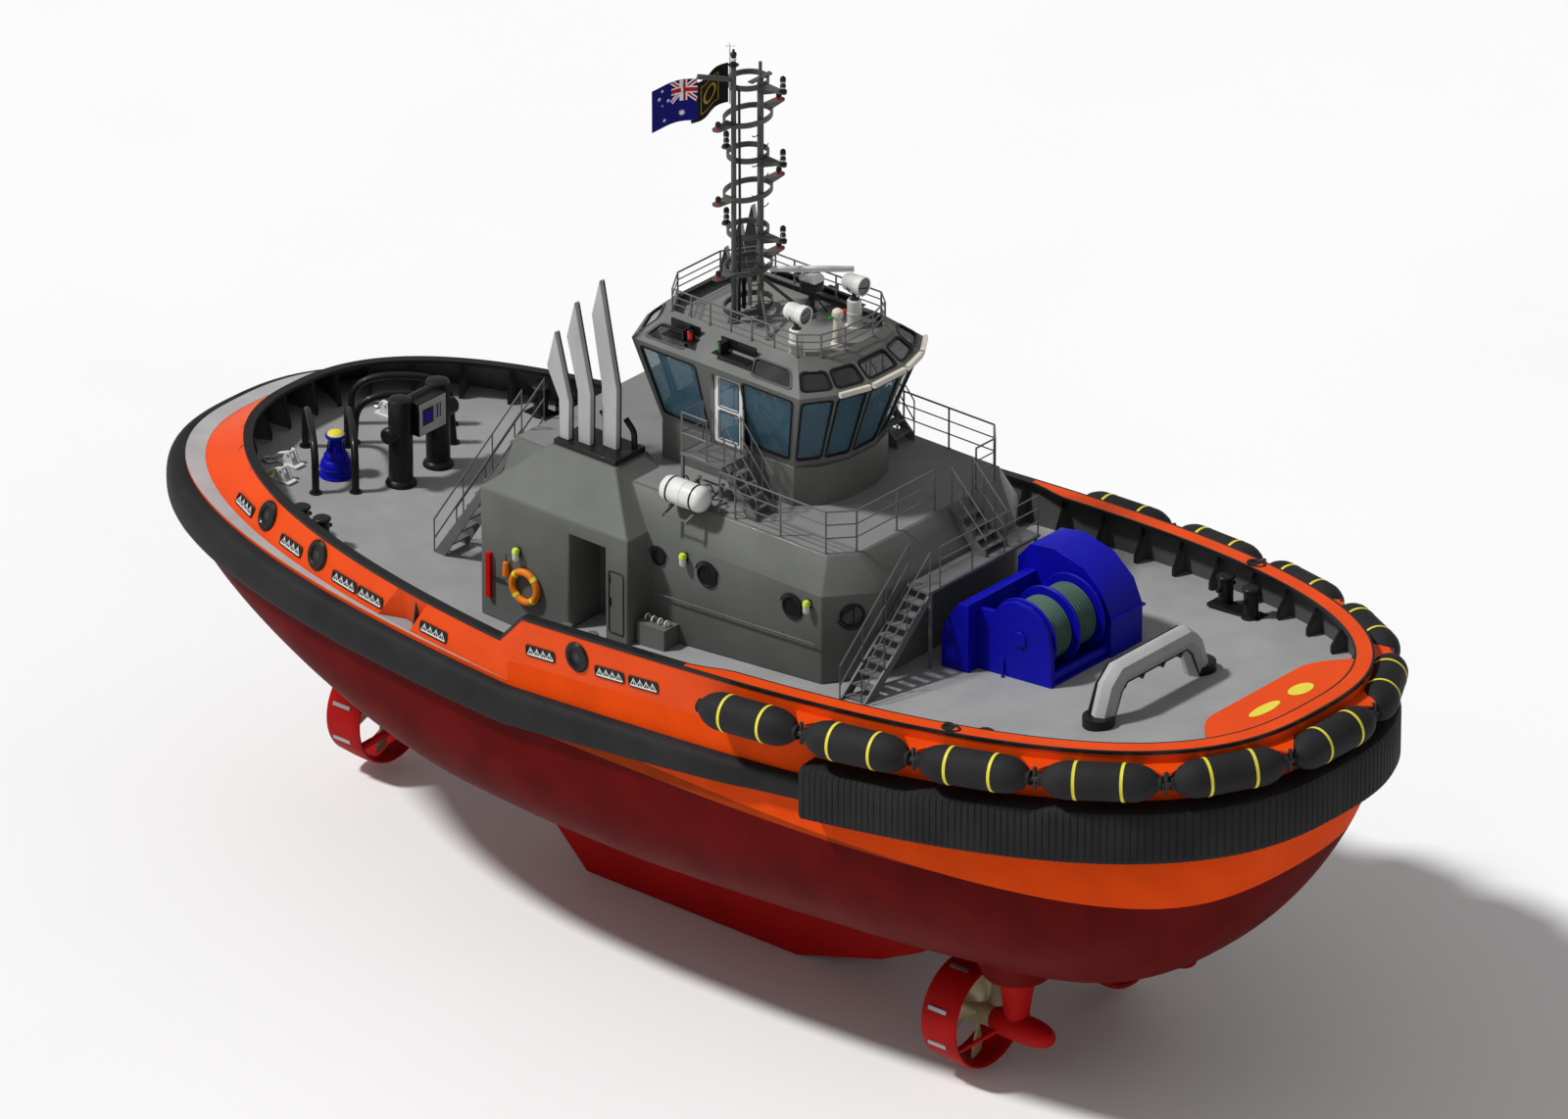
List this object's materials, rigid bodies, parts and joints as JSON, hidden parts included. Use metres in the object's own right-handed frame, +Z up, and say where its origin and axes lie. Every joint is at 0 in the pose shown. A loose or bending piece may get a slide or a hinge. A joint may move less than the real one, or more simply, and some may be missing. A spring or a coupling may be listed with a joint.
{
  "type": "three-thruster harbour tugboat",
  "caption": "Harbour tug with rubber fenders, deckhouse, glazed wheelhouse, raked funnels, ladder mast, towing winch and steerable nozzle thrusters.",
  "frame": {"origin": "amidships on the centreline, at the waterline", "axes": "+X towards the bow, +Y to port, +Z up"},
  "size_m": [32.732, 13.8334, 20.93],
  "materials": {
    "hull_paint": "red and orange hull paint, satin",
    "orange_paint": "orange bulwark paint, satin",
    "fender_rubber": "black fender rubber",
    "house_paint": "grey superstructure paint, satin",
    "funnel_paint": "light grey paint on black plinths",
    "rail_paint": "grey rail paint",
    "white_paint": "white paint",
    "white_plastic": "white moulded plastic",
    "winch_paint": "blue machinery paint",
    "gear_paint": "black deck gear paint",
    "rope": "grey-green synthetic towing rope",
    "propeller_bronze": "pale propeller bronze",
    "cabin_trim": "dark console and seat trim",
    "flag_cloth": "woven flag cloth"
  },
  "bodies": {
    "root": {"belt_fender": "fender_rubber", "binnacle": "white_paint", "bollard_aft_port": "gear_paint", "bollard_aft_stbd": "gear_paint", "bollard_fore_port": "gear_paint", "bollard_fore_stbd": "gear_paint", "bow_fender_block": "fender_rubber", "bow_fender_string": "fender_rubber", "bulwark": "orange_paint", "capstan_base": "winch_paint", "deck_rail_port": "rail_paint", "deck_rail_stbd": "rail_paint", "deckhouse": "house_paint", "flag_ensign": "flag_cloth", "flag_house": "flag_cloth", "fore_staple": "funnel_paint", "funnel_port": "funnel_paint", "funnel_stbd": "funnel_paint", "helm_chair": "cabin_trim", "helm_console": "cabin_trim", "hull": "hull_paint", "keel_box": "hull_paint", "liferaft_port": "white_plastic", "liferaft_stbd": "white_plastic", "mast": "rail_paint", "radar_post": "rail_paint", "roof_rail": "rail_paint", "rope_hoop_port_1": "gear_paint", "rope_hoop_port_2": "gear_paint", "rope_hoop_stbd_1": "gear_paint", "rope_hoop_stbd_2": "gear_paint", "searchlight_pillar_port": "white_paint", "searchlight_pillar_stbd": "white_paint", "stair_aft": "rail_paint", "stair_front": "rail_paint", "stair_front_upper": "rail_paint", "stair_wheelhouse_port": "rail_paint", "stair_wheelhouse_stbd": "rail_paint", "tow_bitt": "gear_paint", "wheelhouse_base": "house_paint", "wheelhouse_roof": "house_paint", "wheelhouse_shell": "house_paint", "winch_frame": "winch_paint"},
    "thruster_stbd": {"thruster_stbd": "hull_paint"},
    "propeller_stbd": {"propeller_stbd": "propeller_bronze"},
    "thruster_port": {"thruster_port": "hull_paint"},
    "propeller_port": {"propeller_port": "propeller_bronze"},
    "thruster_aft": {"thruster_aft": "hull_paint"},
    "propeller_aft": {"propeller_aft": "propeller_bronze"},
    "winch_drum": {"winch_drum": "winch_paint", "winch_rope_stbd": "rope", "winch_rope_port": "rope"},
    "capstan_head": {"capstan_head": "winch_paint"},
    "radar_scanner": {"radar_scanner": "white_plastic"},
    "searchlight_stbd": {"searchlight_stbd": "white_paint"},
    "wheelhouse_door_stbd": {"wheelhouse_door_stbd": "white_paint"},
    "searchlight_port": {"searchlight_port": "white_paint"},
    "wheelhouse_door_port": {"wheelhouse_door_port": "white_paint"}
  },
  "joints": [
    {"name": "azimuth_stbd", "type": "hinge", "parent": "root", "child": "thruster_stbd", "pos_m": [8.65, -2.45, -3.2203], "axis": [0, 0, 1], "continuous": true},
    {"name": "azimuth_port", "type": "hinge", "parent": "root", "child": "thruster_port", "pos_m": [8.65, 2.45, -3.2203], "axis": [0, 0, 1], "continuous": true},
    {"name": "azimuth_aft", "type": "hinge", "parent": "root", "child": "thruster_aft", "pos_m": [-11.05, 0, -3.2203], "axis": [0, 0, 1], "continuous": true},
    {"name": "shaft_stbd", "type": "hinge", "parent": "thruster_stbd", "child": "propeller_stbd", "pos_m": [7.42, -2.45, -4.55], "axis": [1, 0, 0], "continuous": true},
    {"name": "shaft_port", "type": "hinge", "parent": "thruster_port", "child": "propeller_port", "pos_m": [7.42, 2.45, -4.55], "axis": [1, 0, 0], "continuous": true},
    {"name": "shaft_aft", "type": "hinge", "parent": "thruster_aft", "child": "propeller_aft", "pos_m": [-12.28, 0, -4.55], "axis": [1, 0, 0], "continuous": true},
    {"name": "winch_drum_turn", "type": "hinge", "parent": "root", "child": "winch_drum", "pos_m": [7.3, 0, 3.86], "axis": [0, 1, 0], "continuous": true},
    {"name": "capstan_turn", "type": "hinge", "parent": "root", "child": "capstan_head", "pos_m": [-12.27, -1.32, 2.22945], "axis": [0, 0, 1], "continuous": true},
    {"name": "radar_turn", "type": "hinge", "parent": "root", "child": "radar_scanner", "pos_m": [-0.15, 0.95, 9.93], "axis": [0, 0, 1], "continuous": true},
    {"name": "searchlight_pan_stbd", "type": "hinge", "parent": "root", "child": "searchlight_stbd", "pos_m": [1.05, -0.98, 9.58], "axis": [0, 0, 1], "range_deg": [-170, 170]},
    {"name": "searchlight_pan_port", "type": "hinge", "parent": "root", "child": "searchlight_port", "pos_m": [1.05, 0.98, 9.58], "axis": [0, 0, 1], "range_deg": [-170, 170]},
    {"name": "door_hinge_stbd", "type": "hinge", "parent": "root", "child": "wheelhouse_door_stbd", "pos_m": [-0.4995, -1.92, 7.46], "axis": [0, 0, 1], "range_deg": [-90, 0]},
    {"name": "door_hinge_port", "type": "hinge", "parent": "root", "child": "wheelhouse_door_port", "pos_m": [-0.4995, 1.92, 7.46], "axis": [0, 0, 1], "range_deg": [0, 90]}
  ]
}
